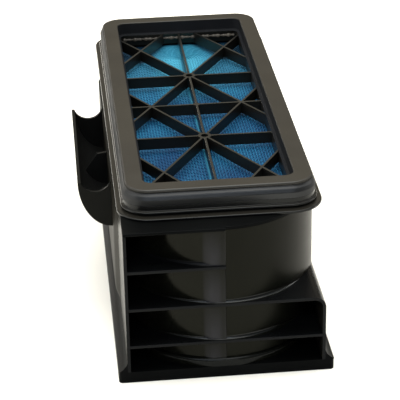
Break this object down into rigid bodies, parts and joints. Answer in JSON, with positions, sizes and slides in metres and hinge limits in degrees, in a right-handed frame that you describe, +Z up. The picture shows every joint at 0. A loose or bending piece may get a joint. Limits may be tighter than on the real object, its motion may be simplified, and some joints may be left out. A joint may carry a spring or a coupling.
{
  "type": "air filter housing",
  "caption": "Obround air filter element bonded in its ribbed moulded housing shell, with a rectangular outlet seal, lattice guards, fluted media and a side pull handle.",
  "frame": {"origin": "centre of the base on its resting plane, at the middle of the inlet guard's centre disc", "axes": "+Z up through the media to the outlet seal, +Y along the long side away from the open corner shelves, +X to the side without the handle"},
  "size_m": [0.1578, 0.36, 0.1245],
  "materials": {
    "shell_black": "moulded gloss black",
    "handle_black": "moulded semi-gloss black",
    "frame_black": "moulded gloss black",
    "seal_urethane": "matte moulded skin",
    "grille_black": "satin moulded black",
    "media_blue": "fine fluted nanofibre-coated media",
    "core_plastic": "plain",
    "wrap_film": "plain",
    "potting_urethane": "cast"
  },
  "bodies": {
    "root": {"left_shell": "shell_black", "right_shell": "shell_black", "top_deck": "shell_black", "base_skirt": "shell_black", "front_foot_bead": "shell_black", "rear_foot_bead": "shell_black", "left_front_plate": "shell_black", "right_front_plate": "shell_black", "left_rear_plate": "shell_black", "right_rear_plate": "shell_black", "front_shelf_upper": "shell_black", "front_shelf_middle": "shell_black", "front_shelf_lower": "shell_black", "rear_shelf_middle": "shell_black", "rear_shelf_lower": "shell_black", "handle_pad": "shell_black", "pull_handle": "handle_black", "seal_frame": "frame_black", "outlet_seal": "seal_urethane", "outlet_grille": "grille_black", "inlet_grille": "grille_black", "media_pack": "media_blue", "winding_core": "core_plastic", "media_wrap": "wrap_film", "outlet_potting": "potting_urethane", "inlet_potting": "potting_urethane"}
  },
  "joints": []
}
